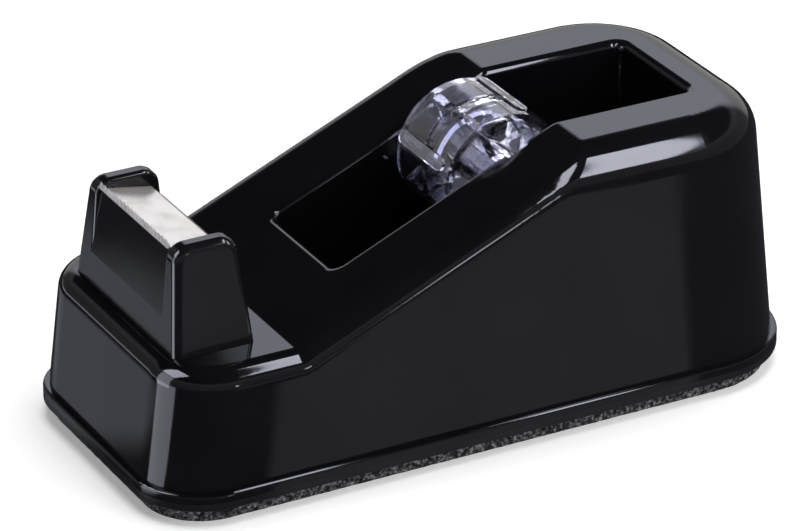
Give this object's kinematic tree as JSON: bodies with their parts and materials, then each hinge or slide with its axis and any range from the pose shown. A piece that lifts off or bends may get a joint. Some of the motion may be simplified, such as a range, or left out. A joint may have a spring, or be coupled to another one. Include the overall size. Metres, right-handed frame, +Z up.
{
  "type": "tape dispenser",
  "caption": "Weighted desktop tape dispenser: wedge-shaped housing with an open tape well, a turning clear core on a lift-out spindle, a serrated blade and a foam pad.",
  "frame": {"origin": "on the ground plane, in the middle of the bottom rim's outline", "axes": "+X from the cutter end to the tall end, +Y to the far side, +Z up"},
  "size_m": [0.135, 0.0622, 0.056],
  "materials": {
    "shell_black": "polished moulded black",
    "head_black": "polished moulded black",
    "blade_steel": "bright rolled strip",
    "core_clear": "clear moulded with a faint blue tint",
    "spindle_clear": "clear moulded",
    "plate_black": "satin moulded black",
    "ballast_iron": "as cast",
    "screw_steel": "zinc plated",
    "pad_foam": "speckled closed-cell foam"
  },
  "bodies": {
    "housing": {"housing_shell": "shell_black", "cutter_head": "head_black", "serrated_blade": "blade_steel", "base_plate": "plate_black", "front_ballast": "ballast_iron", "ballast_bar_far": "ballast_iron", "ballast_bar_near": "ballast_iron", "base_screws": "screw_steel", "anti_slip_pad": "pad_foam"},
    "spindle": {"core_spindle": "spindle_clear"},
    "core": {"core_half_far": "core_clear", "core_half_near": "core_clear"}
  },
  "joints": [
    {"name": "spindle_lift", "type": "slide", "parent": "housing", "child": "spindle", "axis": [0, 0, 1], "range_m": [0, 0.035]},
    {"name": "core_spin", "type": "hinge", "parent": "spindle", "child": "core", "pos_m": [0.0126, 0, 0.0432], "axis": [0, 1, 0], "continuous": true}
  ]
}
